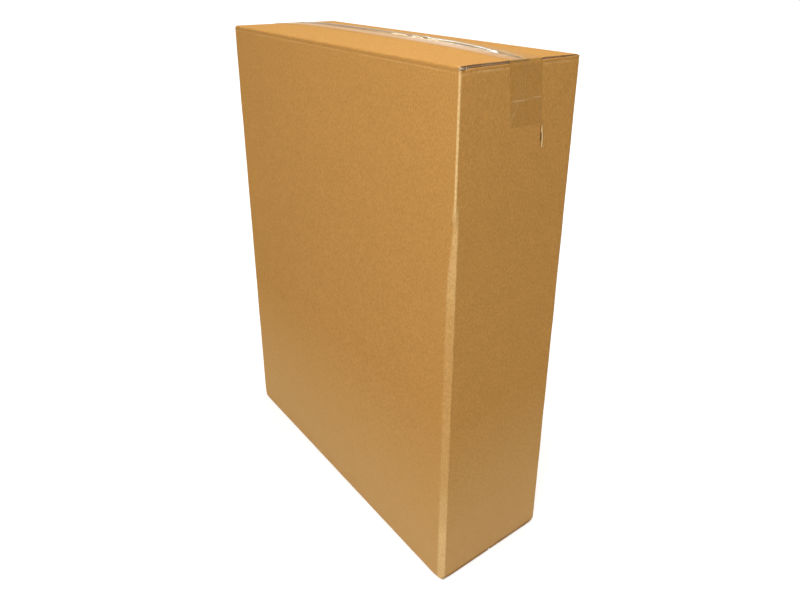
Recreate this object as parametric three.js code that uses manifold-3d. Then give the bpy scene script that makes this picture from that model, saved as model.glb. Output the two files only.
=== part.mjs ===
// A tall, slim slotted carton of double wall corrugated board, closed and taped along its top seam.
// Millimetres, +Z up. The origin is the middle of the base. X runs along the wide panels.
import * as THREE from 'three';
import { mergeVertices } from 'three/addons/utils/BufferGeometryUtils.js';
import Module from 'manifold-3d';

// Outside size of the carton, over its panels and up to the folds of its outer flaps
const LENGTH = 810;
const DEPTH = 276;
const HEIGHT = 1050;

// The board: three liners, with a fine layer of flutes outside and a coarse one inside
const BOARD = 7;
const LINER = 0.5;
const FINE_FLUTE = 2.4;
const CUT_EDGE_RECESS = 2;

// Folds
const OUTER_FOLD_RADIUS = 5;
const INNER_FOLD_RADIUS = 4;
const CREASE_RADIUS = 1;
const CORNER_RADIUS = 3;

// Flaps and the slots between them
const OUTER_FLAP_INSET = 3;
const INNER_FLAP_CLEARANCE = 2;
const INNER_FLAP_LENGTH = 136;
const LAYER_GAP = 0.4;
const SEAM_GAP = 4;
const SLOT_DEPTH = 8;

// The top is crowned: both outer flaps spring up along the seam, the back one a little more
const FRONT_FLAP_RISE = 12;
const BACK_FLAP_RISE = 15;
const CROWN_POWER = 3.5;
const CROWN_STEPS = 24;
const FLAP_STEPS = 4;

// The glued joint at the back left corner: a tab inside, and the back panel's cut edge outside
const JOINT_TAB = 42;
const JOINT_TAB_END = 24;
const JOINT_TAB_TAPER = 12;

// The crushed front right corner, flat from the base up to a short taper
const CRUSH_FRONT = 15;
const CRUSH_SIDE = 7;
const CRUSH_TOP = 822;
const CRUSH_TAPER = 36;
const CRUSH_TIP = 0.04;

// A short cut in the right panel, leaning a little
const CUT_LENGTH = 37;
const CUT_WIDTH = 1.4;
const CUT_DEPTH = 2.5;
const CUT_Y = 54;
const CUT_Z = 917;
const CUT_LEAN = 0.12;

// Tape
const TAPE_WIDTH = 75;
const TAPE_THICKNESS = 0.3;
const TAPE_LIFT = 0.6;
const TAPE_LEG = 110;
const TAPE_SHIFT = 4;
const TAPE_LEAN = 0.1;
const BOTTOM_TAPE_INSET = 12;
const BOTTOM_TAPE_RECESS = 0.1;

// How finely a quarter of a fold is faceted, and how far a cutting solid reaches past the board
const ARC_STEPS = 6;
const OVERCUT = 10;

const HALF_LENGTH = LENGTH / 2;
const HALF_DEPTH = DEPTH / 2;
const OUTER_FLAP_HALF_WIDTH = HALF_LENGTH - OUTER_FLAP_INSET;
const OUTER_FLAP_LENGTH = HALF_DEPTH - SEAM_GAP / 2;
const INNER_FLAP_HALF_WIDTH = HALF_DEPTH - BOARD - INNER_FLAP_CLEARANCE;
const INNER_FLAP_TOP = HEIGHT - BOARD - LAYER_GAP;
const WALL_END = BOARD + LAYER_GAP + INNER_FOLD_RADIUS + CORNER_RADIUS;

const wasm = await Module();
wasm.setup();

function toSolid(geometry) {
  const plain = new THREE.BufferGeometry();
  const source = geometry.index ? geometry.toNonIndexed() : geometry;
  plain.setAttribute('position', source.getAttribute('position'));
  const merged = mergeVertices(plain, 1e-4);
  return new wasm.Manifold(new wasm.Mesh({
    numProp: 3,
    vertProperties: merged.attributes.position.array,
    triVerts: new Uint32Array(merged.index.array),
  }));
}

function toGeometry(solid) {
  const mesh = solid.getMesh();
  const geometry = new THREE.BufferGeometry();
  geometry.setAttribute('position', new THREE.BufferAttribute(mesh.vertProperties, 3));
  geometry.setIndex(new THREE.BufferAttribute(mesh.triVerts, 1));
  const faceted = geometry.toNonIndexed();
  faceted.computeVertexNormals();
  return faceted;
}

function join(geometries) {
  return geometries.map(toSolid).reduce((whole, piece) => whole.add(piece));
}

function box(low, high) {
  const size = high.map((value, axis) => value - low[axis]);
  const geometry = new THREE.BoxGeometry(...size);
  geometry.translate(...low.map((value, axis) => value + size[axis] / 2));
  return geometry;
}

// Points of a quarter circle, both ends included
function arc(centreX, centreY, radius, fromDegrees, toDegrees) {
  const points = [];
  for (let step = 0; step <= ARC_STEPS; step += 1) {
    const degrees = fromDegrees + ((toDegrees - fromDegrees) * step) / ARC_STEPS;
    const angle = THREE.MathUtils.degToRad(degrees);
    const x = centreX + radius * Math.cos(angle);
    const y = centreY + radius * Math.sin(angle);
    points.push(new THREE.Vector2(x, y));
  }
  return points;
}

// A closed solid through sections that have like points in the same order. The outline is the
// first section seen flat, anticlockwise from the side that the sections run towards.
function loft(sections, outline) {
  const positions = [];
  const face = (...corners) => corners.forEach((corner) => positions.push(...corner.toArray()));
  for (let s = 1; s < sections.length; s += 1) {
    const [from, to] = [sections[s - 1], sections[s]];
    from.forEach((corner, i) => {
      const next = (i + 1) % from.length;
      face(corner, from[next], to[next]);
      face(corner, to[next], to[i]);
    });
  }
  const [first, last] = [sections[0], sections[sections.length - 1]];
  for (const [i, j, k] of THREE.ShapeUtils.triangulateShape(outline, [])) {
    face(first[i], first[k], first[j]);
    face(last[i], last[j], last[k]);
  }
  const geometry = new THREE.BufferGeometry();
  geometry.setAttribute('position', new THREE.Float32BufferAttribute(positions, 3));
  return geometry;
}

// The same form on the opposite side, and at the base instead of the top
const toOppositeSide = (geometry) => geometry.clone().rotateZ(Math.PI);
const toBase = (geometry) => geometry.clone().rotateX(Math.PI).translate(0, 0, HEIGHT);

// Outline of a panel's end and the flap folded from it. u runs inward from the panel's outside,
// v runs up, and the flap's top is at v = 0. Points all along the flap let it be bent.
function foldOutline(radius, leg, flapLength, flapSteps) {
  const creaseEnd = BOARD + CREASE_RADIUS;
  const outline = [new THREE.Vector2(0, -leg), ...arc(radius, -radius, radius, 180, 90)];
  for (let step = 1; step <= flapSteps; step += 1) {
    const u = radius + ((flapLength - radius) * step) / flapSteps;
    outline.push(new THREE.Vector2(u, 0));
  }
  for (let step = flapSteps; step >= 1; step -= 1) {
    const u = creaseEnd + ((flapLength - creaseEnd) * step) / flapSteps;
    outline.push(new THREE.Vector2(u, -BOARD));
  }
  outline.push(...arc(creaseEnd, -creaseEnd, CREASE_RADIUS, 90, 180));
  outline.push(new THREE.Vector2(BOARD, -leg));
  return outline.reverse();
}

// The places along the seam where the crowned flaps are faceted, closer together near the ends,
// where the crown falls away
function crownStations(steps) {
  return Array.from({ length: steps + 1 },
    (_, step) => OUTER_FLAP_HALF_WIDTH * Math.sin((Math.PI / 2) * ((2 * step) / steps - 1)));
}

// How far an outer flap stands above its fold: nothing at the fold and at the flap's ends
function flapRise(rise, x, fromOutside) {
  const foldEnd = BOARD + CREASE_RADIUS;
  const alongSeam = 1 - Math.min(1, Math.abs(x) / OUTER_FLAP_HALF_WIDTH) ** CROWN_POWER;
  const acrossFlap = Math.max(0, fromOutside - foldEnd) / (OUTER_FLAP_LENGTH - foldEnd);
  return rise * alongSeam * acrossFlap;
}

// The outer flap on the front, with its panel's end
function outerFlap(rise, crownSteps, flapSteps) {
  const outline = foldOutline(
    OUTER_FOLD_RADIUS, WALL_END + BOARD, OUTER_FLAP_LENGTH, flapSteps);
  const sections = crownStations(crownSteps).map((x) => outline.map(({ x: u, y: v }) => (
    new THREE.Vector3(x, u - HALF_DEPTH, HEIGHT + v + flapRise(rise, x, u)))));
  return loft(sections, outline);
}

// The inner flap on the right, with its panel's end, just under the outer flaps
function innerFlap() {
  const outline = foldOutline(INNER_FOLD_RADIUS, 2 * BOARD + CORNER_RADIUS, INNER_FLAP_LENGTH, 1);
  const section = (y) => outline.map(
    ({ x: u, y: v }) => new THREE.Vector3(HALF_LENGTH - u, y, INNER_FLAP_TOP + v));
  return loft([section(-INNER_FLAP_HALF_WIDTH), section(INNER_FLAP_HALF_WIDTH)], outline);
}

// The four panels between two heights. At the back left corner the left panel folds in under the
// back panel, whose cut edge shows.
function panels(end) {
  const [x, y, r] = [HALF_LENGTH, HALF_DEPTH, CORNER_RADIUS];
  const shape = new THREE.Shape([
    ...arc(r - x, r - y, r, 180, 270),
    ...arc(x - r, r - y, r, 270, 360),
    ...arc(x - r, y - r, r, 0, 90),
    new THREE.Vector2(r - x, y),
    ...arc(r - x, y - BOARD - r, r, 90, 180),
  ]);
  shape.holes.push(new THREE.Path([
    new THREE.Vector2(BOARD - x, BOARD - y),
    new THREE.Vector2(BOARD - x, y - BOARD),
    new THREE.Vector2(x - BOARD, y - BOARD),
    new THREE.Vector2(x - BOARD, BOARD - y),
  ]));
  const tube = new THREE.ExtrudeGeometry(shape, { depth: HEIGHT - 2 * end, bevelEnabled: false });
  return tube.translate(0, 0, end);
}

// Between the slots the panels' corners run on to the slots' ends. The glued corner has no fold
// there, only the gap between the two panels.
function cornerEnds() {
  const blocks = [];
  for (const x of [-1, 1]) {
    for (const y of [-1, 1]) {
      if (x < 0 && y > 0) continue;
      const near = [x * OUTER_FLAP_HALF_WIDTH, y * INNER_FLAP_HALF_WIDTH];
      const far = [x * (HALF_LENGTH + OVERCUT), y * (HALF_DEPTH + OVERCUT)];
      const low = near.map((value, axis) => Math.min(value, far[axis]));
      const high = near.map((value, axis) => Math.max(value, far[axis]));
      blocks.push(box([...low, 0], [...high, HEIGHT]));
    }
  }
  return toSolid(panels(SLOT_DEPTH)).intersect(join(blocks));
}

// The tab that the left panel ends in, glued to the inside of the back panel
function jointTab() {
  const start = BOARD / 2 - HALF_LENGTH;
  const end = BOARD + JOINT_TAB - HALF_LENGTH;
  const shape = new THREE.Shape([
    new THREE.Vector2(start, JOINT_TAB_END),
    new THREE.Vector2(end, JOINT_TAB_END + JOINT_TAB_TAPER),
    new THREE.Vector2(end, HEIGHT - JOINT_TAB_END - JOINT_TAB_TAPER),
    new THREE.Vector2(start, HEIGHT - JOINT_TAB_END),
  ]);
  const tab = new THREE.ExtrudeGeometry(shape, { depth: BOARD, bevelEnabled: false });
  return tab.rotateX(Math.PI / 2).translate(0, HALF_DEPTH - BOARD, 0);
}

// The two hollows between the liners, as distances in from the outside of the board
function fluteHollows() {
  const middleLiner = LINER + FINE_FLUTE;
  return [[LINER, middleLiner], [middleLiner + LINER, BOARD - LINER]];
}

// The hollows show along the cut ends of the outer flaps, top and bottom
function flapEndHollows() {
  const reach = HALF_DEPTH - OUTER_FOLD_RADIUS;
  const inner = OUTER_FLAP_HALF_WIDTH - CUT_EDGE_RECESS;
  const outer = OUTER_FLAP_HALF_WIDTH + OVERCUT;
  const right = fluteHollows().map(
    ([near, far]) => box([inner, -reach, HEIGHT - far], [outer, reach, HEIGHT - near]));
  const top = [...right, ...right.map(toOppositeSide)];
  return join([...top, ...top.map(toBase)]);
}

// and along the back panel's cut edge at the glued joint
function jointHollows() {
  const edge = CORNER_RADIUS - HALF_LENGTH;
  return join(fluteHollows().map(([near, far]) => box(
    [edge - OVERCUT, HALF_DEPTH - far, WALL_END],
    [edge + CUT_EDGE_RECESS, HALF_DEPTH - near, HEIGHT - WALL_END])));
}

// Everything outside the flat of the crushed corner, up to the end of its taper
function crushOutside() {
  const along = new THREE.Vector2(CRUSH_FRONT, CRUSH_SIDE).setLength(OVERCUT);
  const outline = (size) => [
    new THREE.Vector2(HALF_LENGTH - CRUSH_FRONT * size, -HALF_DEPTH).sub(along),
    new THREE.Vector2(HALF_LENGTH + OVERCUT, -HALF_DEPTH - OVERCUT),
    new THREE.Vector2(HALF_LENGTH, CRUSH_SIDE * size - HALF_DEPTH).add(along),
  ];
  const section = (size, z) => outline(size).map(({ x, y }) => new THREE.Vector3(x, y, z));
  return toSolid(loft([
    section(1, -OVERCUT),
    section(1, CRUSH_TOP - CRUSH_TAPER),
    section(0, CRUSH_TOP),
  ], outline(1)));
}

// The board pushed in behind that flat, which keeps its thickness
function crushInside() {
  const slope = Math.hypot(CRUSH_FRONT, CRUSH_SIDE);
  const alongFront = CRUSH_FRONT - BOARD + (BOARD * (slope - CRUSH_FRONT)) / CRUSH_SIDE;
  const alongSide = (BOARD * slope + CRUSH_SIDE * (CRUSH_FRONT - BOARD)) / CRUSH_FRONT - BOARD;
  const [x, y] = [HALF_LENGTH - BOARD, BOARD - HALF_DEPTH];
  const inBoard = BOARD / 4;
  const outline = (size) => [
    new THREE.Vector2(x - alongFront * size, y),
    new THREE.Vector2(x - alongFront * size, y - inBoard),
    new THREE.Vector2(x + inBoard, y - inBoard),
    new THREE.Vector2(x + inBoard, y + alongSide * size),
    new THREE.Vector2(x, y + alongSide * size),
  ];
  const section = (size, z) => outline(size).map((p) => new THREE.Vector3(p.x, p.y, z));
  return toSolid(loft([
    section(1, 2 * (BOARD + LAYER_GAP) + CREASE_RADIUS),
    section(1, CRUSH_TOP - CRUSH_TAPER),
    section(CRUSH_TIP, CRUSH_TOP),
  ], outline(1)));
}

function panelCut() {
  const cut = box(
    [HALF_LENGTH - CUT_DEPTH, -CUT_WIDTH / 2, -CUT_LENGTH / 2],
    [HALF_LENGTH + OVERCUT, CUT_WIDTH / 2, CUT_LENGTH / 2]);
  return toSolid(cut.rotateX(CUT_LEAN).translate(0, CUT_Y, CUT_Z));
}

function bottomTapeSolid(from, to, margin) {
  const x = HALF_LENGTH - BOTTOM_TAPE_INSET + margin;
  const y = TAPE_WIDTH / 2 + margin;
  return box([-x, -y, from], [x, y, to]);
}

// The whole carton, one folded and glued sheet
function cartonSolid() {
  const flap = { front: outerFlap(FRONT_FLAP_RISE, CROWN_STEPS, FLAP_STEPS),
    back: toOppositeSide(outerFlap(BACK_FLAP_RISE, CROWN_STEPS, FLAP_STEPS)),
    flat: outerFlap(0, 1, 1),
    inner: innerFlap() };
  const sheet = join([
    panels(WALL_END),
    jointTab(),
    flap.front,
    flap.back,
    toBase(flap.flat),
    toBase(toOppositeSide(flap.flat)),
    flap.inner,
    toOppositeSide(flap.inner),
    toBase(flap.inner),
    toBase(toOppositeSide(flap.inner)),
  ]);
  const tapeRecess = BOTTOM_TAPE_RECESS + TAPE_THICKNESS + TAPE_LIFT;
  return sheet
    .add(cornerEnds())
    .add(crushInside())
    .subtract(crushOutside())
    .subtract(flapEndHollows())
    .subtract(jointHollows())
    .subtract(panelCut())
    .subtract(toSolid(bottomTapeSolid(-OVERCUT, tapeRecess, 1)));
}

// The top of the closed lid, with a straight step across the seam
function lidTop(x, y) {
  const front = flapRise(FRONT_FLAP_RISE, x, HALF_DEPTH + Math.min(y, -SEAM_GAP / 2));
  const back = flapRise(BACK_FLAP_RISE, x, HALF_DEPTH - Math.max(y, SEAM_GAP / 2));
  const acrossSeam = THREE.MathUtils.clamp(y / SEAM_GAP + 0.5, 0, 1);
  return HEIGHT + THREE.MathUtils.lerp(front, back, acrossSeam);
}

// The tape's route over the lid and down both narrow panels, as its underside and the way it faces
function tapeStations() {
  const lidEnd = OUTER_FLAP_HALF_WIDTH + TAPE_LIFT;
  const legX = HALF_LENGTH + TAPE_LIFT;
  const bendZ = INNER_FLAP_TOP - INNER_FOLD_RADIUS / 2;
  const end = (side) => [
    { x: side * legX, z: HEIGHT - TAPE_LEG, facing: [side, 0] },
    { x: side * legX, z: bendZ, facing: [side, 0] },
    { x: side * lidEnd, z: HEIGHT + TAPE_LIFT, facing: [side * 0.8, 0.6] },
  ];
  const lid = crownStations(CROWN_STEPS).slice(1, -1).map((x) => ({ x, z: null, facing: [0, 1] }));
  return [...end(-1), ...lid, ...end(1).reverse()];
}

function topTape() {
  const half = TAPE_WIDTH / 2;
  const across = [-half, -SEAM_GAP / 2, SEAM_GAP / 2, half];
  const sections = tapeStations().map(({ x, z, facing }) => {
    const downLeg = x > 0 && z !== null ? HEIGHT - Math.min(z, HEIGHT) : 0;
    const rows = [0, TAPE_THICKNESS].map((out) => across.map((offset) => {
      const onSeam = Math.abs(offset) < half;
      const y = offset + (onSeam ? 0 : TAPE_SHIFT + TAPE_LEAN * downLeg);
      const under = z === null ? lidTop(x, y) + TAPE_LIFT : z;
      return new THREE.Vector3(x + facing[0] * out, y, under + facing[1] * out);
    }));
    return [...rows[0], ...rows[1].reverse()];
  });
  const outline = [...across.map((y) => new THREE.Vector2(y, 0)),
    ...across.map((y) => new THREE.Vector2(y, TAPE_THICKNESS)).reverse()];
  return loft(sections, outline);
}

function board(colour) {
  return new THREE.MeshStandardMaterial({ color: colour, roughness: 0.85, metalness: 0 });
}

function tape(colour) {
  return new THREE.MeshStandardMaterial({ color: colour, roughness: 0.25, metalness: 0 });
}

function piece(name, geometry, material) {
  const mesh = new THREE.Mesh(geometry, material);
  mesh.name = name;
  return mesh;
}

const box_group = new THREE.Group();
box_group.add(
  piece('carton', toGeometry(cartonSolid()), board(0xc0904f)),
  piece('top_tape', toGeometry(toSolid(topTape())), tape(0xa17440)),
  piece('bottom_tape', bottomTapeSolid(
    BOTTOM_TAPE_RECESS, BOTTOM_TAPE_RECESS + TAPE_THICKNESS, 0), tape(0xa17440)),
);

export default box_group;
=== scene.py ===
import math

import bmesh
import bpy
from mathutils import Euler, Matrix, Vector, noise


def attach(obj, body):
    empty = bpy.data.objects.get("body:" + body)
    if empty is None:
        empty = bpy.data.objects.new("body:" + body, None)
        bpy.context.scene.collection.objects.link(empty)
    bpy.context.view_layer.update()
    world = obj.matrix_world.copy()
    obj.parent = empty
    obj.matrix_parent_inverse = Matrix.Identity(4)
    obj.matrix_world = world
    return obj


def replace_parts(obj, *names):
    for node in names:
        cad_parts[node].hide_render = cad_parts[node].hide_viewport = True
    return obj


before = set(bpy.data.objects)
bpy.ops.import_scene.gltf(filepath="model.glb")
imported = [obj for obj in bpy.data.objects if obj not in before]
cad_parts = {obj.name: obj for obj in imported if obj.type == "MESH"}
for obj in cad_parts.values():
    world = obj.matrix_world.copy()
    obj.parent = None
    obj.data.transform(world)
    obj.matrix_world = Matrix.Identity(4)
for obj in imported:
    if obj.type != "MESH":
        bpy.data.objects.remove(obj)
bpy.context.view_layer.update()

MM = 0.001

# The carton's sizes, as its solids have them
HALF_LENGTH = 405 * MM
HALF_DEPTH = 138 * MM
HEIGHT = 1050 * MM
BOARD = 7 * MM
LINER = 0.5 * MM
FINE_FLUTE = 2.4 * MM
FLAP_END = 402 * MM
FLAP_LENGTH = 136 * MM
FOLD_END = 8 * MM
FLAP_UNDERSIDE = HEIGHT - 7.2 * MM
SIDE_TOP = 1035 * MM
FRONT_RISE = 12 * MM
BACK_RISE = 15 * MM
CROWN_POWER = 3.5
CRUSH_TOP = 822 * MM
CRUSH_SHORT = 7 * MM
CUT_Y = 54 * MM
CUT_Z = 917 * MM

# Wear and relief of the board. The lid is a little flatter than in the solids, so that the film
# stays inside their box.
LID_SETTLES = 0.07
FLUTE_PITCH = 6.3 * MM
FRONT_SCORE = HEIGHT - 9.3 * MM
FRONT_SCORE_RUB = HEIGHT - 10.2 * MM
SIDE_SCORE = HEIGHT - 12.6 * MM
SIDE_SCORE_RUB = HEIGHT - 13.6 * MM
RIDGE_BOTTOM = 1030 * MM
RIDGE_START = 401.4 * MM
BASE_BUMP = 26 * MM
CRUSH_ROUND = 34 * MM
CORNER_ROUND = 16 * MM

# The fluted layers, as strips along the cut edges
STRIP_SWING = 0.36
STRIP_TILT = 1.5
STRIP_THICKNESS = 0.22 * MM

# Tape
TAPE_HALF_WIDTH = 37.5 * MM
TAPE_SHIFT = 4 * MM
TAPE_LEAN = 0.1
TAPE_THICKNESS = 0.15 * MM
TAPE_CLEARANCE = 0.3 * MM
TAPE_ROWS = 57
LEG_TOP = 1040 * MM

# The leg's outer face and its steps upwards, and the bend at its top, as x and z in mm
LEG_FACE = 405.55
LEG_BOTTOM = 941.0
LEG_STEP = 2.0
LEG_STEPS = 50
TAPE_BEND = (
    (405.6, 1040.0), (405.6, 1042.0), (405.5, 1044.0), (405.2, 1046.0), (404.7, 1047.6),
    (404.0, 1049.0), (403.2, 1050.0), (402.2, 1050.6), (401.0, 1050.9))

# The film's two facets over the seam: where the first ends, and how far up it is there
BRIDGE_KNEE = 0.45
BRIDGE_KNEE_RISE = 0.62

# Bubbles under the film: place along and across the tape, length, width and height
TAPE_BUBBLES = [tuple(value * MM for value in bubble) for bubble in (
    (60, -6, 22, 6, 1.1),
    (118, -10, 14, 8, 1.3),
    (146, -4, 10, 10, 1.1),
    (255, -2, 60, 4, 0.6),
    (345, 8, 16, 9, 1.2),
    (372, -6, 9, 12, 1.0),
    (380, 9, 7, 4, 0.9),
    (387, -3, 6, 3, 1.1),
    (393, 6, 4, 3.5, 1.5),
    (-210, 3, 26, 7, 0.9),
    (-330, -8, 15, 9, 1.0))]

# Scratches on the right leg, as ends in y and z, width and how pale they are
TAPE_SCRATCHES = [
    (-33 * MM, 984 * MM, 44 * MM, 987 * MM, 0.7 * MM, 0.45),
    (-10 * MM, 979 * MM, -19 * MM, 961 * MM, 0.7 * MM, 0.3),
    (-15 * MM, 963 * MM, -24 * MM, 951 * MM, 0.6 * MM, 0.25),
    (4 * MM, 1030 * MM, 5 * MM, 1012 * MM, 0.6 * MM, 0.2),
]

# Torn bits of paper at the near top corner: middle, length and width in mm, turn and seed
TORN_LINER = (
    (399.5, -135.5, 1047.0, 6.0, 3.2, 0.5, 0.2), (402.3, -130.5, 1045.0, 7.5, 2.6, 0.9, 0.7),
    (403.4, -124.0, 1044.2, 6.0, 1.8, 0.3, 1.2), (401.2, -134.0, 1043.0, 5.0, 2.2, 1.9, 2.2))
TORN_FIBRES = (
    (403.0, -133.0, 1042.0, 5.5, 2.0, 1.4, 0.1), (403.9, -127.0, 1040.0, 5.0, 1.6, 1.1, 1.5),
    (404.2, -120.0, 1043.0, 5.5, 1.5, 0.2, 2.4))

# Colours of the board
KRAFT = (0.575, 0.290, 0.077)
# Pale rubbed board, also used as a painted highlight along the near fold
KRAFT_RUBBED_AND_HIGHLIGHT = (0.98, 0.70, 0.33)
DARK_FIBRE = (0.16, 0.075, 0.025, 1.0)
PALE_FLECK = (0.80, 0.55, 0.27, 1.0)
# Paler colour low on the panels: dust, and painted light from the floor
DUST_AND_FLOOR_LIGHT = (0.70, 0.44, 0.185, 1.0)
# Darker crushed board, also used as painted shade in the cut and at the foot of the flap ends
CRUSHED_AND_SHADE = (0.33, 0.155, 0.045, 1.0)
CUT_DARK = (0.40, 0.29, 0.17, 1.0)
CUT_PALE = (0.86, 0.72, 0.52, 1.0)

# Colours of the film
FILM_DARK = (0.43, 0.207, 0.043, 1.0)
FILM_LIGHT = (0.54, 0.268, 0.063, 1.0)
FILM_GLUE = (0.50, 0.30, 0.12, 1.0)
FILM_STREAK = (0.33, 0.165, 0.045, 1.0)
FILM_LOOSE = (0.56, 0.37, 0.15, 1.0)
# Painted shade of the gaps seen through the film
FILM_GAP_SHADE = (0.17, 0.105, 0.035, 1.0)
FILM_SCRATCH = (0.76, 0.55, 0.29, 1.0)

# Stage, light and camera
WHITE = (1.0, 1.0, 1.0)
FLOOR_REACH = 14
FLOOR_DROP = 0.0005
FLOOR_GLOW = 0.48
FLOOR_GLOW_FAR = 0.85
WORLD_LIGHT = 0.44
LENS = 29.96
LENS_SHIFT = (-0.01526, -0.08764)
CAMERA_PLACE = (1.1589, -0.8112, 1.1930)
CAMERA_TURN = (68.1223, -0.5835, 52.3757)

# Lamps: place, aim, size, power and colour. The two windows show as bright strips in the film.
LAMPS = (
    ("overhead", (0.3, -0.2, 3.2), (0, 0, 1.0), (2.4, 2.4), 41, WHITE),
    ("front_fill", (0.9, -3.0, 1.2), (0.3, 0, 0.4), (2.0, 2.0), 4.5, WHITE),
    ("near_key", (1.15, -1.5, 2.05), (0.35, -0.1, 0.95), (0.6, 0.6), 18, WHITE),
    ("cool_window", (-1.89, 1.62, 2.35), (0.28, 0, 1.055), (0.6, 0.34), 9, (0.66, 0.88, 1.0)),
    ("warm_window", (-2.22, 0.89, 2.69), (0.15, 0, 1.06), (0.6, 0.34), 9, (1.0, 0.93, 0.66)),
)


def smooth(low, high, value):
    """0 at low and 1 at high, with a soft step between them. Low may be the larger one."""
    t = min(1.0, max(0.0, (value - low) / (high - low)))
    return t * t * (3 - 2 * t)


def bump(value, centre, width):
    """1 at the centre, fading out on both sides."""
    return math.exp(-(((value - centre) / width) ** 2))


def wander(x, y=0.0, z=0.0):
    """Smooth noise from -1 to 1."""
    return noise.noise(Vector((x, y, z)))


def unit_wander(x, y=0.0, z=0.0):
    """Smooth noise from 0 to 1."""
    return 0.5 + 0.5 * max(-1.0, min(1.0, 1.5 * wander(x, y, z)))


# Materials

class Shader:
    """A material's nodes, made one after another."""

    def __init__(self, name):
        self.material = bpy.data.materials.new(name)
        self.material.use_nodes = True
        self.tree = self.material.node_tree
        self.bsdf = self.tree.nodes["Principled BSDF"]
        self.output = self.tree.nodes["Material Output"]
        self.coordinate = self.tree.nodes.new("ShaderNodeTexCoord")

    def node(self, kind, inputs=(), **settings):
        made = self.tree.nodes.new(kind)
        for key, value in settings.items():
            setattr(made, key, value)
        for key, value in dict(inputs).items():
            self.put(value, made.inputs[key])
        return made

    def put(self, value, socket):
        if isinstance(value, bpy.types.NodeSocket):
            self.tree.links.new(value, socket)
        else:
            socket.default_value = value

    def math(self, operation, a, b=0.0):
        return self.node("ShaderNodeMath", {0: a, 1: b}, operation=operation).outputs[0]

    def span(self, value, low, high, start=0.0, end=1.0):
        return self.node("ShaderNodeMapRange", {
            "Value": value, "From Min": low, "From Max": high,
            "To Min": start, "To Max": end}).outputs["Result"]

    def mix(self, factor, a, b):
        mixer = self.node("ShaderNodeMix", data_type="RGBA")
        self.put(factor, mixer.inputs[0])
        self.put(a, mixer.inputs[6])
        self.put(b, mixer.inputs[7])
        return mixer.outputs[2]

    def scaled(self, vector, size):
        return self.node("ShaderNodeVectorMath", {0: vector, 1: size},
                         operation="MULTIPLY").outputs[0]

    def apart(self, vector):
        return self.node("ShaderNodeSeparateXYZ", {0: vector}).outputs

    def noise(self, vector, scale, detail=3.0, roughness=0.5):
        return self.node("ShaderNodeTexNoise", {
            "Vector": vector, "Scale": scale, "Detail": detail,
            "Roughness": roughness}).outputs["Fac"]

    def attribute(self, name):
        return self.node("ShaderNodeAttribute", attribute_name=name).outputs["Fac"]

    def bumps(self, height, strength, distance, normal=None):
        inputs = {"Height": height, "Strength": strength, "Distance": distance}
        if normal is not None:
            inputs["Normal"] = normal
        return self.node("ShaderNodeBump", inputs).outputs[0]


def opaque(colour, gain=1.0):
    return tuple(min(1.0, gain * value) for value in colour) + (1.0,)


def faces_along(s, axis):
    """1 where the surface faces along an axis, else 0."""
    facing = s.apart(s.coordinate.outputs["Normal"])
    return s.math("GREATER_THAN", s.math("ABSOLUTE", facing[axis]), 0.7)


def along_grain(s, place):
    """Object coordinates squeezed along the board's grain, which runs up the panels and on over
    the outer flaps towards the seam."""
    up_panel = s.scaled(place, (1.0, 1.0, 0.22))
    over_lid = s.scaled(place, (1.0, 0.22, 1.0))
    return s.mix(faces_along(s, 2), up_panel, over_lid)


def washboard(s, place):
    """The flutes as they show through the outer liner, across the panels and the outer flaps."""
    axes = s.apart(place)
    on_side = faces_along(s, 0)
    across = s.math("ADD", s.math("MULTIPLY", on_side, axes[1]),
                    s.math("MULTIPLY", s.math("SUBTRACT", 1.0, on_side), axes[0]))
    return s.math("SINE", s.math("MULTIPLY", across, 2 * math.pi / FLUTE_PITCH))


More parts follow.
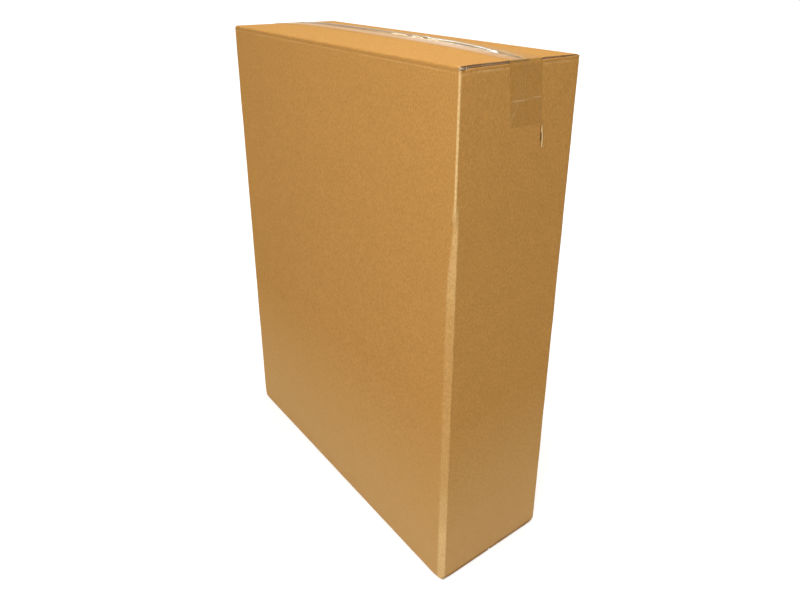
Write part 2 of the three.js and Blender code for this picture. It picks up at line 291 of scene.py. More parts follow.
def board_material(name, tone=KRAFT, rubbed_and_highlight_tone=KRAFT_RUBBED_AND_HIGHLIGHT):
    s = Shader(name)
    place = s.coordinate.outputs["Object"]
    fibres = s.noise(along_grain(s, place), 900.0, 4.0, 0.65)
    mottle = s.noise(s.scaled(place, (1.0, 1.0, 0.66)), 290.0, 4.0, 0.62)
    clouds = s.noise(place, 22.0, 3.0, 0.5)
    blotch = s.noise(place, 3.2, 2.0, 0.5)
    flutes = washboard(s, place)

    dark = opaque(tone, 0.80)
    spots = opaque(tone, 0.72)
    paper = s.mix(s.span(fibres, 0.3, 0.7), dark, opaque(tone, 1.17))
    paper = s.mix(s.span(mottle, 0.50, 0.70, 0.0, 0.62), paper, spots)
    paper = s.mix(s.span(mottle, 0.48, 0.28, 0.0, 0.45), paper, opaque(tone, 1.24))
    paper = s.mix(s.span(clouds, 0.4, 0.7, 0.0, 0.10), paper, spots)
    paper = s.mix(s.span(blotch, 0.38, 0.66, 0.0, 0.10), paper, dark)
    paper = s.mix(s.span(flutes, -1.0, 1.0, 0.0, 0.05), paper, dark)

    # Short dark fibres and pale flecks in the pulp
    flecks = s.noise(s.scaled(place, (1.0, 1.0, 0.5)), 620.0, 1.0, 0.4)
    paper = s.mix(s.span(flecks, 0.735, 0.80, 0.0, 0.5), paper, DARK_FIBRE)
    paper = s.mix(s.span(flecks, 0.26, 0.20, 0.0, 0.5), paper, PALE_FLECK)

    # Dust and scuffs low down on the panels, and painted floor light: the lower part is made paler
    # as if lit from the floor
    low = s.span(s.apart(place)[2], 0.40, 0.04, 0.0, 0.60)
    dust_and_floor_light = s.math("MULTIPLY", low, s.span(clouds, 0.2, 0.8, 0.8, 1.1))
    paper = s.mix(dust_and_floor_light, paper, DUST_AND_FLOOR_LIGHT)

    # Where folds are rubbed, crushed or cut. The rubbed colour is also a painted highlight along
    # the near fold, and the crushed colour is also painted shade in the cut and at the foot of the
    # flap ends.
    worn = s.math("MULTIPLY", s.attribute("rubbed_and_highlight"), s.span(mottle, 0.3, 0.62, 1.0, 0.55))
    paper = s.mix(worn, paper, opaque(rubbed_and_highlight_tone))
    paper = s.mix(s.attribute("crushed_and_shade"), paper, CRUSHED_AND_SHADE)
    cut = s.mix(s.span(fibres, 0.35, 0.65), CUT_DARK, CUT_PALE)
    paper = s.mix(s.attribute("cut"), paper, cut)
    s.put(paper, s.bsdf.inputs["Base Color"])
    s.put(s.span(mottle, 0.3, 0.7, 0.74, 0.9), s.bsdf.inputs["Roughness"])
    s.bsdf.inputs["Specular IOR Level"].default_value = 0.02

    relief = s.bumps(fibres, 0.35, 0.12 * MM)
    relief = s.bumps(mottle, 0.55, 0.25 * MM, relief)
    relief = s.bumps(flutes, 0.35, 0.06 * MM, relief)
    s.put(relief, s.bsdf.inputs["Normal"])
    return s.material


def tape_material(name):
    """Brown film, with the board under it drawn in: mottle and flutes, and painted shade for the
    dark gaps it hangs over. It is glossy where it is loose and dull where it is stuck down."""
    s = Shader(name)
    place = s.coordinate.outputs["Object"]
    board = s.noise(place, 260.0, 4.0, 0.6)
    glue = s.noise(s.scaled(place, (1.0, 1.0, 0.35)), 90.0, 5.0, 0.65)
    streaks = s.noise(s.scaled(place, (0.35, 6.0, 0.35)), 55.0, 3.0, 0.6)
    flutes = washboard(s, place)
    gap_shade_amount = s.attribute("painted_gap_shade")

    film = s.mix(s.span(board, 0.32, 0.68), FILM_DARK, FILM_LIGHT)
    film = s.mix(s.span(glue, 0.45, 0.7, 0.0, 0.30), film, FILM_GLUE)
    film = s.mix(s.span(streaks, 0.50, 0.72, 0.0, 0.30), film, FILM_STREAK)
    film = s.mix(s.span(flutes, -1.0, 1.0, 0.0, 0.12), film, FILM_STREAK)
    film = s.mix(s.attribute("loose"), film, FILM_LOOSE)
    film = s.mix(gap_shade_amount, film, FILM_GAP_SHADE)
    film = s.mix(s.attribute("scratched"), film, FILM_SCRATCH)
    s.put(film, s.bsdf.inputs["Base Color"])

    dull = s.math("MULTIPLY", s.attribute("stuck"), 0.34)
    rough = s.math("ADD", s.span(glue, 0.3, 0.7, 0.03, 0.10), dull)
    s.put(rough, s.bsdf.inputs["Roughness"])
    s.bsdf.inputs["IOR"].default_value = 1.5
    s.bsdf.inputs["Specular IOR Level"].default_value = 0.06

    relief = s.bumps(board, s.span(gap_shade_amount, 0.0, 0.7, 0.35, 0.03), 0.12 * MM)
    relief = s.bumps(streaks, s.span(gap_shade_amount, 0.0, 0.7, 0.30, 0.04), 0.10 * MM, relief)
    relief = s.bumps(flutes, s.span(gap_shade_amount, 0.0, 0.7, 0.35, 0.0), 0.08 * MM, relief)
    s.put(relief, s.bsdf.inputs["Normal"])
    return s.material


# Mesh helpers

def shade(mesh, degrees):
    for polygon in mesh.polygons:
        polygon.use_smooth = True
    mesh.set_sharp_from_angle(angle=math.radians(degrees))


def mark(mesh, name, values):
    layer = mesh.attributes.new(name, "FLOAT", "POINT")
    layer.data.foreach_set("value", values)


def add_piece(name, mesh, material):
    made = bpy.data.objects.new(name, mesh)
    bpy.context.scene.collection.objects.link(made)
    mesh.materials.clear()
    mesh.materials.append(material)
    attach(made, "root")
    return made


def add_board_bits(name, bm, material, degrees, cut=0.0):
    """A piece made of ribbons, cut as far as the number says."""
    bmesh.ops.recalc_face_normals(bm, faces=bm.faces)
    mesh = bpy.data.meshes.new(name)
    bm.to_mesh(mesh)
    bm.free()
    if cut:
        mark(mesh, "cut", [cut] * len(mesh.vertices))
    shade(mesh, degrees)
    add_piece(name, mesh, material)


def grid_sheet(name, place, columns, rows, thickness):
    """A closed thin sheet. place(i, j) gives a point and the way it faces."""
    front = [[place(i, j) for j in range(rows)] for i in range(columns)]
    verts = [p for column in front for p, _ in column]
    verts += [p - n * thickness for column in front for p, n in column]
    back = columns * rows
    faces = []

    def at(i, j):
        return i * rows + j

    for i in range(columns - 1):
        for j in range(rows - 1):
            a, b, c, d = at(i, j), at(i + 1, j), at(i + 1, j + 1), at(i, j + 1)
            faces.append((a, b, c, d))
            faces.append((back + d, back + c, back + b, back + a))
    border = [at(i, 0) for i in range(columns)]
    border += [at(columns - 1, j) for j in range(1, rows)]
    border += [at(i, rows - 1) for i in range(columns - 2, -1, -1)]
    border += [at(0, j) for j in range(rows - 2, 0, -1)]
    for k, a in enumerate(border):
        b = border[(k + 1) % len(border)]
        faces.append((b, a, back + a, back + b))
    mesh = bpy.data.meshes.new(name)
    mesh.from_pydata(verts, [], faces)
    mesh.validate()
    mesh.update()
    return mesh


def ribbon(bm, points, facing, thickness):
    """A thin strip through pairs of points."""
    over = facing * thickness
    rows = []
    for a, b in points:
        rows.append([bm.verts.new(p) for p in (a, b, b + over, a + over)])
    for first, second in zip(rows, rows[1:]):
        for k in range(4):
            m = (k + 1) % 4
            bm.faces.new((first[k], first[m], second[m], second[k]))
    bm.faces.new(rows[0][::-1])
    bm.faces.new(rows[-1])


# The carton's shape

def flap_rise(x, y):
    """How far the closed lid's outer flaps spring up, as in the solids."""
    rise = FRONT_RISE if y < 0 else BACK_RISE
    along = 1 - min(1.0, abs(x) / FLAP_END) ** CROWN_POWER
    across = max(0.0, HALF_DEPTH - abs(y) - FOLD_END) / (FLAP_LENGTH - FOLD_END)
    return rise * along * min(1.0, across)


def flap_end_lift(x, y):
    """The outer flaps' right ends stand a little off the inner flap under them."""
    if y > 1 * MM:
        return 0.6 * MM * smooth(340 * MM, FLAP_END, x) * smooth(130 * MM, 60 * MM, y)
    inwards = smooth(-HALF_DEPTH + 4 * MM, -110 * MM, y)
    return 0.9 * MM * smooth(320 * MM, FLAP_END, x) * inwards


def ridge_rise(x, y):
    """The crushed fold of an inner flap bulges up in front of the outer flaps' ends."""
    if x < 0:
        return 3.5 * MM + 1.2 * MM * wander(y * 25, 4.0)
    share = max(0.0, min(1.0, (y + 130 * MM) / (260 * MM)))
    corner = smooth(-128 * MM, -110 * MM, y)
    return (1.8 + 2.2 * corner + 2.4 * share + 0.5 * wander(y * 40, 9.0)) * MM


def lid_height(x, y):
    return HEIGHT + (1 - LID_SETTLES) * flap_rise(x, y) + flap_end_lift(x, y)


def lid_ripple(x, y):
    """How far the outer flaps dip here and there."""
    inside = smooth(0, 60 * MM, HALF_DEPTH - abs(y)) * smooth(0, 40 * MM, FLAP_END - abs(x))
    return 0.5 * MM * inside * unit_wander(x * 9, y * 14)


def wide_dish(x, y, z):
    """How far a wide panel dishes in."""
    inside = smooth(0, 120 * MM, HALF_LENGTH - abs(x)) * smooth(0, 150 * MM, min(z, HEIGHT - z))
    return inside * ((0.6 + 1.5 * unit_wander(x * 3.1, z * 2.7, y)) * MM)


def side_dish(x, y, z):
    """How far a narrow panel dishes in."""
    inside = smooth(0, 50 * MM, HALF_DEPTH - abs(y)) * smooth(0, 150 * MM, min(z, SIDE_TOP - z))
    return inside * (0.3 + 0.9 * unit_wander(y * 5.0, z * 3.3, x)) * MM


def carton_shift(p):
    """How far a place on the solid's surface moves in the dented carton."""
    x, y, z = p
    move = Vector((0.0, 0.0, 0.0))
    if z > FLAP_UNDERSIDE and abs(x) < FLAP_END + 0.2 * MM:
        move.z += lid_height(x, y) - HEIGHT - flap_rise(x, y) - lid_ripple(x, y)
    if RIDGE_BOTTOM < z < HEIGHT - 6.9 * MM and abs(x) > RIDGE_START:
        step = smooth(RIDGE_START, RIDGE_START + 2 * MM, abs(x))
        move.z += ridge_rise(x, y) * step * smooth(RIDGE_BOTTOM, RIDGE_BOTTOM + 10 * MM, z)

    # Score lines beside the top folds, and the crushed band above the front one
    if y < 0 and z > 1000 * MM:
        outside = smooth(-HALF_DEPTH + 12 * MM, -HALF_DEPTH + 7 * MM, y)
        uneven = 0.6 + 0.4 * wander(x * 18, 2.0)
        line = bump(z, FRONT_SCORE, 1.0 * MM) * 0.55 * MM * uneven
        band = 0.45 * MM * smooth(HEIGHT - 9.5 * MM, HEIGHT - 7 * MM, z)
        move.y += outside * (line + band * unit_wander(x * 30, 5.0))
    if x > 390 * MM and z > 1000 * MM:
        uneven = 0.6 + 0.4 * wander(y * 22, 6.0)
        move.x -= 0.5 * MM * bump(z, SIDE_SCORE, 1.1 * MM) * uneven

    # The panels dish in a little
    if 8 * MM < z < HEIGHT - 8 * MM and abs(y) > HALF_DEPTH - 8 * MM:
        move.y -= math.copysign(wide_dish(x, y, z), y)
    if 8 * MM < z < SIDE_TOP and abs(x) > HALF_LENGTH - 8 * MM:
        move.x -= math.copysign(side_dish(x, y, z), x)

    # The crushed corner isn't even, and the other corners are rubbed round here and there
    near = math.hypot(x - HALF_LENGTH, y + HALF_DEPTH)
    if near < CRUSH_ROUND and z < CRUSH_TOP + 20 * MM:
        fade = smooth(CRUSH_ROUND, 14 * MM, near)
        fade *= smooth(CRUSH_TOP + 20 * MM, CRUSH_TOP - 40 * MM, z)
        dent = 1.1 * unit_wander(z * 16, 3.0) + 0.5 * unit_wander(z * 60, x * 90, y * 90)
        move += Vector((-0.45, 0.9, 0.0)) * (dent * fade * MM)
    for sx, sy, seed in ((1, 1, 11.0), (-1, -1, 15.0), (-1, 1, 19.0)):
        far = math.hypot(x - sx * HALF_LENGTH, y - sy * HALF_DEPTH)
        if far < CORNER_ROUND:
            dent = 0.9 * unit_wander(z * 12, seed) * smooth(CORNER_ROUND, 4 * MM, far) * MM
            move += Vector((-sx, -sy, 0.0)) * (0.7 * dent)

    # Bumped corners at the base
    if z < BASE_BUMP:
        for sx in (-1, 1):
            for sy in (-1, 1):
                corner = Vector((sx * HALF_LENGTH, sy * HALF_DEPTH, 0))
                far = (Vector((x, y, z)) - corner).length
                push = smooth(BASE_BUMP, 2 * MM, far) * (1.2 + 0.8 * wander(sx * 3.3, sy * 7.7))
                move += Vector((-sx * 0.6, -sy * 0.6, 0.5)) * (push * MM)
    return move


def carton_marks(p):
    """How rubbed, crushed and cut the board is at a place on the solid's surface. The rubbed mark
    is also a painted highlight along the near fold, and the crushed mark is also painted shade on
    the cut's walls and at the foot of the flap ends.
    """
    x, y, z = p
    rubbed_and_highlight = 0.0
    crushed_and_shade = 0.0
    cut = 0.0

    # The near fold, with a pale line that is rubbed wear and a painted highlight, and the crushed
    # corner below it, which widens slowly from its top
    near = math.hypot(x - HALF_LENGTH, y + HALF_DEPTH)
    if z > CRUSH_TOP - 30 * MM and near < 8 * MM:
        rubbed_and_highlight = smooth(3.7 * MM, 1.9 * MM, near) * (0.80 + 0.2 * wander(z * 30))
    if z <= CRUSH_TOP and near < 22 * MM:
        reach = (6.0 + 8.6 * smooth(CRUSH_TOP, CRUSH_TOP - 170 * MM, z)) * MM
        flat = smooth(-1.5 * MM, 0.9 * MM, reach - (HALF_LENGTH - x))
        flat *= smooth(-1.2 * MM, 0.3 * MM, CRUSH_SHORT - (y + HALF_DEPTH))
        worn = 0.20 + 0.48 * smooth(260 * MM, 90 * MM, z) + 0.30 * smooth(520 * MM, 780 * MM, z)
        rubbed_and_highlight = max(rubbed_and_highlight, worn * flat * (0.85 + 0.3 * wander(z * 22, 8.0)))

    # The top folds of the front and right panels
    if y < -HALF_DEPTH + 1.5 * MM and z > HEIGHT - 12 * MM:
        crushed_and_shade = 0.34 * smooth(HEIGHT - 9 * MM, HEIGHT - 7 * MM, z)
        crushed_and_shade *= smooth(HEIGHT - 1.2 * MM, HEIGHT - 3 * MM, z) * (0.75 + 0.25 * wander(x * 35))
        line = bump(z, FRONT_SCORE_RUB, 0.9 * MM) * unit_wander(x * 14, 3)
        rubbed_and_highlight = max(rubbed_and_highlight, 0.24 * line)
    if x > HALF_LENGTH - 1.5 * MM and 1020 * MM < z < 1043 * MM:
        line = bump(z, SIDE_SCORE_RUB, 0.9 * MM) * unit_wander(y * 20, 5)
        rubbed_and_highlight = max(rubbed_and_highlight, 0.45 * line)
        crushed_and_shade = max(crushed_and_shade, 0.35 * smooth(1036 * MM, 1041 * MM, z))

    # The outer flaps' cut ends, the glued joint's edge and the cut in the right panel
    if z > FLAP_UNDERSIDE and abs(x) > FLAP_END - 0.4 * MM:
        cut = 0.9
        # Darker top and bottom rows of the cut end; the bottom row is painted shade where the flap
        # meets the board under it
        if z > HEIGHT - 0.7 * MM or z < FLAP_UNDERSIDE + 0.9 * MM:
            cut = 0.25
            crushed_and_shade = 0.75
    if z > HEIGHT - 8 * MM and FLAP_END - 3 * MM < abs(x) < FLAP_END - 0.5 * MM:
        crushed_and_shade = max(crushed_and_shade, 0.15)
    if x < -FLAP_END - 0.2 * MM and y > HALF_DEPTH - BOARD - 0.2 * MM:
        cut = 0.5
    if HALF_LENGTH - 4 * MM < x < HALF_LENGTH - 1 * MM:
        # Painted shade on the walls of the cut
        if abs(y - CUT_Y) < 6 * MM and abs(z - CUT_Z) < 22 * MM:
            crushed_and_shade = 0.9
    return rubbed_and_highlight, crushed_and_shade, cut


def steps(low, high, count):
    return [low + (high - low) * k / count for k in range(count + 1)]


def carton_planes():
    """Where the carton's mesh is cut finer along x, y and z, in mm: closely by the folds."""
    from_fold = [1, 2.2, 3.5, 5, 7, 9.5, 12, 15, 19, 25]
    xs = steps(-370, 370, 40) + [sign * (405 - e) for e in from_fold for sign in (-1, 1)]
    ys = steps(-105, 105, 14) + [sign * (138 - e) for e in from_fold for sign in (-1, 1)]
    ys += [46, 50, 58, 62]
    zs = steps(30, 1010, 50) + [3, 6, 10, 15, 21]
    zs += [760, 775, 797, 806, 815]
    zs += [1020, 1026, 1030, 1032, 1033.2, 1034.2, 1035.2, 1036.4, 1038, 1039.4, 1040.2]
    zs += [1041, 1041.8, 1043.2, 1045, 1047]
    return xs, ys, zs


def build_carton(material):
    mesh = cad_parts["carton"].data.copy()
    bm = bmesh.new()
    bm.from_mesh(mesh)
    bmesh.ops.remove_doubles(bm, verts=bm.verts, dist=0.002 * MM)
    bmesh.ops.dissolve_limit(
        bm, angle_limit=math.radians(0.3), verts=bm.verts, edges=bm.edges)
    for axis, places in enumerate(carton_planes()):
        normal = [0.0, 0.0, 0.0]
        normal[axis] = 1.0
        for place in sorted(places):
            point = [0.0, 0.0, 0.0]
            # A hair off the round number, so that no plane runs along a face
            point[axis] = (place + 0.013) * MM
            bmesh.ops.bisect_plane(
                bm, geom=bm.verts[:] + bm.edges[:] + bm.faces[:], dist=0.001 * MM,
                plane_co=point, plane_no=normal)
    rubbed_and_highlight = bm.verts.layers.float.new("rubbed_and_highlight")
    crushed_and_shade = bm.verts.layers.float.new("crushed_and_shade")
    cut = bm.verts.layers.float.new("cut")
    for vert in bm.verts:
        vert[rubbed_and_highlight], vert[crushed_and_shade], vert[cut] = carton_marks(vert.co)
        vert.co += carton_shift(vert.co)
    bmesh.ops.triangulate(bm, faces=[f for f in bm.faces if len(f.verts) > 4])
    bm.to_mesh(mesh)
    bm.free()
    mesh.name = "carton_board"
    shade(mesh, 40)
    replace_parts(add_piece("carton_board", mesh, material), "carton")


# The fluted layers, as they show where the board is cut along its flutes

def strip_depths(near, far, phase):
    """How deep in the board a strip's inner and outer edges lie, between the layer's liners."""
    swing = STRIP_SWING * (far - near)
    middle = (near + far) / 2
    return middle + swing * math.sin(phase), middle + swing * math.sin(phase + STRIP_TILT)


def flap_end_strip(sx, sy, top, layer, near, far):
    """Pairs of points along one half of an outer flap's cut end."""
    start = 3 * MM
    reach = HALF_DEPTH - 6 * MM
    points = []
    for k in range(61):
        y = sy * (start + (reach - start) * k / 60)
        phase = 2.2 * wander(y * 22, sx * 3.0 + layer * 7, 5.0 if top else 1.0)
        low, high = strip_depths(near, far, phase)
        if top:
            lid = lid_height(sx * FLAP_END, y)
            low, high = lid - high, lid - low
        else:
            low, high = high, low
        points.append((Vector((sx * (FLAP_END - 1.8 * MM), y, low)),
                       Vector((sx * (FLAP_END - 0.25 * MM), y, high))))
    return points


def joint_strip(near, far):
    """Pairs of points up the glued joint's cut edge."""
    points = []
    for k in range(161):
        z = 16 * MM + (HEIGHT - 32 * MM) * k / 160
        inner, outer = strip_depths(near, far, 2.2 * wander(z * 16, near * 5000))
        points.append((Vector((-FLAP_END + 1.8 * MM, HALF_DEPTH - inner, z)),
                       Vector((-FLAP_END + 0.3 * MM, HALF_DEPTH - outer, z))))
    return points


def build_flutes(material):
    bm = bmesh.new()
    layers = ((LINER, LINER + FINE_FLUTE), (2 * LINER + FINE_FLUTE, BOARD - LINER))
    for sx in (-1, 1):
        for top in (True, False):
            for layer, (near, far) in enumerate(layers):
                for sy in (-1, 1):
                    points = flap_end_strip(sx, sy, top, layer, near, far)
                    ribbon(bm, points, Vector((0, 0, 1)), STRIP_THICKNESS)
    for near, far in layers:
        ribbon(bm, joint_strip(near, far), Vector((0, -1, 0)), STRIP_THICKNESS)
    add_board_bits("flute_layers", bm, material, 35, cut=1.0)


# Tape

def tape_relief(x, v):
    """Bubbles and wrinkles of the film over the lid, as a height above the board. v is the
    place across the tape. Over the seam the film is tight."""
    tight = 1 - 0.85 * bump(v, -5.5 * MM, 6 * MM)
    height = 0.12 * unit_wander(x * 60, v * 90) * tight * MM
    right = smooth(60 * MM, 150 * MM, x) * smooth(398 * MM, 330 * MM, x)
    crease = wander(x * 55 + 0.8 * wander(v * 60), v * 14, 3.0)
    height += right * 0.28 * MM * max(0.0, crease)
    left = smooth(-60 * MM, -160 * MM, x) * smooth(-398 * MM, -330 * MM, x)
    height += left * 0.35 * MM * max(0.0, wander(x * 40, v * 20, 8.0))
    for bx, bv, length, width, tall in TAPE_BUBBLES:
        height += tall * bump(x, bx, length) * bump(v, bv, width)
    return height


def bridge_edges(x):
    """Where the film leaves the front flap, and where it meets the back one."""
    start = (-6.0 + 1.0 * wander(x * 12, 6.0)) * MM
    end = (3.0 + 1.0 * wander(x * 9, 16.0)) * MM
    return start, end


def seam_bridge(x, y):
    """The film leaves the front flap before its edge and goes up to the higher back flap in two
    flat facets."""
    start, end = bridge_edges(x)
    share = max(0.0, min(1.0, (y - start) / (end - start)))
    if share < BRIDGE_KNEE:
        return share / BRIDGE_KNEE * BRIDGE_KNEE_RISE
    return BRIDGE_KNEE_RISE + (share - BRIDGE_KNEE) / (1 - BRIDGE_KNEE) * (1 - BRIDGE_KNEE_RISE)


def bridge_shade_mask(x, y):
    """Painted shade where the film hangs free over the seam and nothing behind it lights it."""
    start, end = bridge_edges(x)
    inside = smooth(start - 1 * MM, start + 1 * MM, y) * smooth(end + 1.5 * MM, end, y)
    return 0.85 * inside * (0.8 + 0.2 * wander(x * 30, 2.0)) * smooth(404 * MM, 396 * MM, abs(x))


def end_gap_shade_mask(x, y, z):
    """Painted shade of the dark gap at the outer flaps' ends, seen through the film that bends
    over it.
    """
    end_gap_shade = bump(z, 1049.2 * MM, 1.8 * MM) * smooth(399.5 * MM, 401.5 * MM, abs(x))
    return end_gap_shade * (0.40 + 0.60 * smooth(16 * MM, 9 * MM, y)) * (0.88 + 0.2 * wander(y * 80))


def line_mask(y, z, y0, z0, y1, z1, width):
    """1 on a line between two places on the leg, fading out beside it."""
    along = Vector((y1 - y0, z1 - z0))
    share = max(0.0, min(1.0, Vector((y - y0, z - z0)).dot(along) / along.length_squared))
    near = math.hypot(y - y0 - share * along.x, z - z0 - share * along.y)
    return bump(near, 0.0, width)


def tape_stations():
    """Stations along the lid's tape from its left end to its right one: x, z and the way the film
    faces. z is None over the lid, where the film follows the flaps."""
    left = [(-LEG_FACE, LEG_BOTTOM + LEG_STEP * k, -1.0, 0.0) for k in range(LEG_STEPS)]
    for k, (x, z) in enumerate(TAPE_BEND):
        turn = math.radians(90 * (k + 1) / (len(TAPE_BEND) + 1))
        left.append((-x, z, -math.cos(turn), math.sin(turn)))
    over = [(-400 + 2.0 * k, None, 0.0, 1.0) for k in range(401)]
    return left + over + [(-x, z, -nx, nz) for x, z, nx, nz in reversed(left)]


def film_over_lid(x, v):
    """A point of the film's upper face over the lid. Its long rims lie down on the board."""
    y = v + TAPE_SHIFT
    front = lid_height(x, min(y, -2 * MM))
    back = lid_height(x, max(y, 2 * MM))
    under = front + (back - front) * seam_bridge(x, y)
    rim = smooth(TAPE_HALF_WIDTH - 5 * MM, TAPE_HALF_WIDTH, abs(v))
    above = TAPE_THICKNESS + (TAPE_CLEARANCE + tape_relief(x, v)) * (1 - 0.9 * rim)
    return Vector((x, y, under + above - rim * lid_ripple(x, y)))


def film_on_leg(x, v, z, facing):
    """A point of the film's outer face on a leg or its bend. The legs follow the dished panels."""
    down = max(0.0, HEIGHT - z) if x > 0 else 0.0
    y = v + TAPE_SHIFT + TAPE_LEAN * down
    lift = flap_end_lift(x, y) if z > 1049 * MM else 0.0
    wave = 0.12 * MM * unit_wander(y * 70, z * 30, x) if z < LEG_TOP else 0.0
    closer = 0.26 * MM * smooth(1038 * MM, 1005 * MM, z)
    closer += side_dish(math.copysign(HALF_LENGTH, x), y, z)
    return Vector((x, y, z + lift)) - facing * (wave + closer)


def film_marks(x, y, z):
    """How loose, scratched and stuck the lid's film is at a place, and the painted shade where it
    bridges the seam or the flaps' end gaps.
    """
    end_gap_shade = end_gap_shade_mask(x, y, z)
    if z < LEG_TOP:
        scratch = 0.0
        if x > 0:
            for y0, z0, y1, z1, width, depth in TAPE_SCRATCHES:
                scratch = max(scratch, depth * line_mask(y, z, y0, z0, y1, z1, width))
        return 0.0, end_gap_shade, scratch, 1.0
    v = y - TAPE_SHIFT
    bubble = 0.0
    for bx, bv, length, width, _ in TAPE_BUBBLES:
        bubble = max(bubble, bump(x, bx, length) * bump(v, bv, width))
    rim = smooth(TAPE_HALF_WIDTH - 9 * MM, TAPE_HALF_WIDTH - 5 * MM, abs(v))
    flat = max(rim, smooth(4 * MM, 9 * MM, y), 0.45 * smooth(-9 * MM, -13 * MM, y))
    return 0.45 * bubble, max(bridge_shade_mask(x, y), end_gap_shade), 0.0, 0.15 + 1.35 * flat


def build_top_tape(material):
    offsets = [-TAPE_HALF_WIDTH + 2 * TAPE_HALF_WIDTH * j / (TAPE_ROWS - 1)
               for j in range(TAPE_ROWS)]
    stations = tape_stations()

    def place(i, j):
        x, z, nx, nz = stations[i]
        if z is None:
            return film_over_lid(x * MM, offsets[j]), Vector((0.0, 0.0, 1.0))
        facing = Vector((nx, 0.0, nz)).normalized()
        return film_on_leg(x * MM, offsets[j], z * MM, facing), facing

    mesh = grid_sheet("lid_tape", place, len(stations), TAPE_ROWS, TAPE_THICKNESS)
    marks = [film_marks(*vert.co) for vert in mesh.vertices]
    for name, values in zip(("loose", "painted_gap_shade", "scratched", "stuck"), zip(*marks)):
        mark(mesh, name, values)
    shade(mesh, 50)
    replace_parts(add_piece("lid_tape", mesh, material), "top_tape")


def build_base_tape(material):
    columns, rows = 197, 20

    def place(i, j):
        x = (-393 + 786 * i / (columns - 1)) * MM
        y = (-37.5 + 75 * j / (rows - 1)) * MM
        z = (0.12 + 0.25 * unit_wander(x * 45, y * 60, 2.0)) * MM
        z += 0.35 * MM * bump(y, 0.0, 3 * MM)
        return Vector((x, -y, z)), Vector((0.0, 0.0, -1.0))

    mesh = grid_sheet("base_tape", place, columns, rows, TAPE_THICKNESS)
    mark(mesh, "stuck", [0.4] * len(mesh.vertices))
    shade(mesh, 50)
    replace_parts(add_piece("base_tape", mesh, material), "bottom_tape")


# Torn paper at the near top corner, and the cut in the right panel, with painted shade inside the
# cut

def build_torn_corner(name, material, bits):
    """Short curled strips, each turned and uneven by its seed."""
    bm = bmesh.new()
    for x, y, z, length, width, turn, seed in bits:
        rotation = Euler((0.35 * math.sin(9 * seed), 0.6 + 0.5 * math.cos(5 * seed),
                          math.pi / 2 + 0.5 * (turn - 0.9)))
        pairs = []
        for k in range(7):
            t = k / 6
            wide = width * (0.35 + 0.65 * math.sin(math.pi * (0.15 + 0.8 * t)))
            wide *= 0.85 + 0.3 * unit_wander(k * 0.9, seed * 5)
            curl = 0.9 * math.sin(2.2 * t + seed)
            sides = []
            for s in (-0.5, 0.5):
                local = Vector((length * (t - 0.5), s * wide, curl + 0.3 * s))
                local.rotate(rotation)
                point = Vector((x, y, z)) + local
                point.x = min(point.x, 405.2)
                point.y = max(point.y, -137.4)
                sides.append(point * MM)
            pairs.append(tuple(sides))
        ribbon(bm, pairs, Vector((0.3, 0.2, 1.0)).normalized(), 0.3 * MM)
    add_board_bits(name, bm, material, 60)


def build_cut_lip(material):
    """The liner's edge that stands off beside the cut, inside the solids' box."""
    furthest = 405.85
    bm = bmesh.new()
    pairs = []
    for k in range(25):
        t = k / 24
        z = (936.5 - 39 * t) * MM
        y = (52.6 + 4.6 * t + 0.35 * wander(t * 6)) * MM
        stand = math.sin(math.pi * (0.04 + 0.92 * t)) * (0.75 + 0.25 * wander(t * 9, 4.0))
        inner = Vector((404.0 * MM, y + 0.5 * MM, z))
        outer = Vector((min(furthest, 404.7 + 1.15 * stand) * MM, y + (0.9 + 0.5 * stand) * MM, z))
        pairs.append((inner, outer))
    ribbon(bm, pairs, Vector((0.35, 0.9, 0.0)).normalized(), 0.9 * MM)
    for vert in bm.verts:
        vert.co.x = min(vert.co.x, furthest * MM)
    add_board_bits("cut_lip", bm, material, 60)


def build_cut_shade_sheet(material):
    """A dark sheet in the cut, painted shade between its edges."""
    bm = bmesh.new()
    pairs = []
    for k in range(17):
        t = k / 16
        z = (925 - 17 * t) * MM
        y = (53.6 + 2.1 * t) * MM
        wide = (0.1 + 0.42 * math.sin(math.pi * (0.05 + 0.9 * t))) * MM
        pairs.append((Vector((404.35 * MM, y - wide - 0.35 * MM, z)),
                      Vector((404.75 * MM, y + wide, z))))
    ribbon(bm, pairs, Vector((1.0, 0.0, 0.0)), 0.3 * MM)
    add_board_bits("painted_cut_shade", bm, material, 60)


# Stage, light and camera

def seen_directly(tree):
    """1 for camera, glossy and transmission rays, else 0."""
    path = tree.nodes.new("ShaderNodeLightPath")
    seen = path.outputs["Is Camera Ray"]
    for ray in ("Is Glossy Ray", "Is Transmission Ray"):
        either = tree.nodes.new("ShaderNodeMath")
        either.operation = "MAXIMUM"
        tree.links.new(seen, either.inputs[0])
        tree.links.new(path.outputs[ray], either.inputs[1])
        seen = either.outputs[0]
    return seen


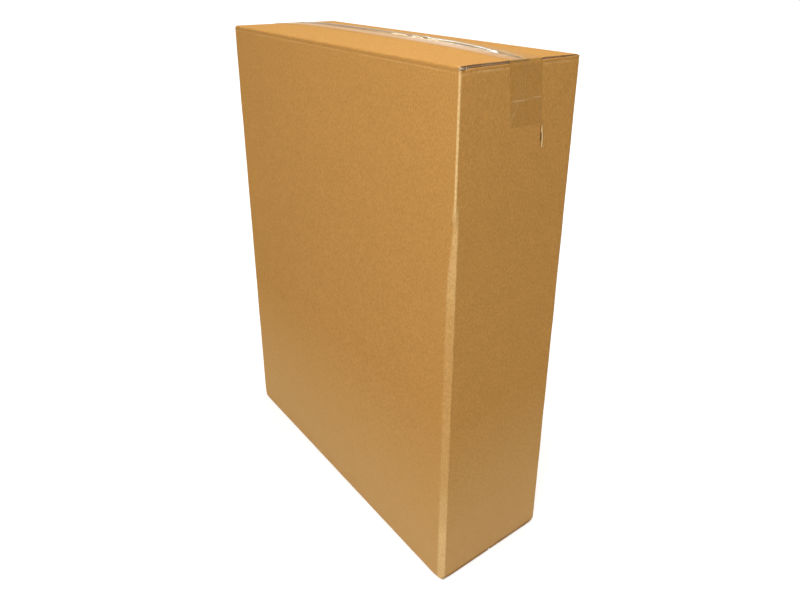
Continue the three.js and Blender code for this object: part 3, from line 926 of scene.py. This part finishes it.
def build_stage():
    """A pale floor that keeps the shadow. Its glow rises with distance, so that it meets the
    white background without an edge."""
    bm = bmesh.new()
    for sx, sy in ((-1, -1), (1, -1), (1, 1), (-1, 1)):
        bm.verts.new((sx * FLOOR_REACH, sy * FLOOR_REACH, 0))
    bm.faces.new(bm.verts)
    mesh = bpy.data.meshes.new("floor")
    bm.to_mesh(mesh)
    bm.free()
    floor = bpy.data.objects.new("floor", mesh)
    floor.location.z = -FLOOR_DROP
    bpy.context.scene.collection.objects.link(floor)
    s = Shader("pale_floor")
    s.tree.nodes.remove(s.bsdf)
    base = s.node("ShaderNodeBsdfDiffuse", {"Color": (0.80, 0.80, 0.80, 1.0)})
    glow = s.node("ShaderNodeEmission", {"Color": opaque(WHITE)})
    far = s.node("ShaderNodeVectorMath", {0: s.coordinate.outputs["Object"]}, operation="LENGTH")
    level = s.span(far.outputs["Value"], 1.2, 4.0, FLOOR_GLOW, FLOOR_GLOW_FAR)
    s.put(s.math("MULTIPLY", seen_directly(s.tree), level), glow.inputs["Strength"])
    both = s.node("ShaderNodeAddShader", {0: base.outputs[0], 1: glow.outputs[0]})
    s.put(both.outputs[0], s.output.inputs["Surface"])
    mesh.materials.append(s.material)


def build_world():
    """White where it is seen, and plain soft light on the object."""
    world = bpy.data.worlds.new("studio")
    bpy.context.scene.world = world
    world.use_nodes = True
    tree = world.node_tree
    back = tree.nodes["Background"]
    back.inputs["Color"].default_value = opaque(WHITE)
    level = tree.nodes.new("ShaderNodeMapRange")
    level.inputs["To Min"].default_value = WORLD_LIGHT
    level.inputs["To Max"].default_value = 1.0
    tree.links.new(seen_directly(tree), level.inputs["Value"])
    tree.links.new(level.outputs["Result"], back.inputs["Strength"])


def area_light(name, place, aim, size, power, colour):
    data = bpy.data.lights.new(name, "AREA")
    data.shape = "RECTANGLE"
    data.size, data.size_y = size
    data.energy = power
    data.color = colour
    made = bpy.data.objects.new(name, data)
    made.location = place
    made.rotation_euler = (Vector(aim) - Vector(place)).to_track_quat("-Z", "Y").to_euler()
    bpy.context.scene.collection.objects.link(made)


def build_camera():
    data = bpy.data.cameras.new("camera")
    data.sensor_width = 36.0
    data.lens = LENS
    data.shift_x, data.shift_y = LENS_SHIFT
    data.clip_end = 100.0
    camera = bpy.data.objects.new("camera", data)
    camera.location = CAMERA_PLACE
    camera.rotation_euler = [math.radians(angle) for angle in CAMERA_TURN]
    bpy.context.scene.collection.objects.link(camera)
    bpy.context.scene.camera = camera


board = board_material("kraft_board")
film = tape_material("brown_film")
pale_board = board_material("torn_pale_board", (0.90, 0.82, 0.68), (0.9, 0.85, 0.75))
build_carton(board)
build_flutes(board)
build_top_tape(film)
build_base_tape(film)
build_torn_corner("torn_liner", pale_board, TORN_LINER)
build_torn_corner("torn_fibres", board, TORN_FIBRES)
build_cut_lip(board_material("lip_board", (0.84, 0.60, 0.31), (0.8, 0.6, 0.35)))
# Painted shade: a dark sheet inside the cut
build_cut_shade_sheet(board_material("cut_shade_board", (0.10, 0.045, 0.016), (0.2, 0.1, 0.05)))

build_stage()
build_world()
for lamp in LAMPS:
    area_light(*lamp)
build_camera()

view = bpy.context.scene.view_settings
view.view_transform = "Standard"
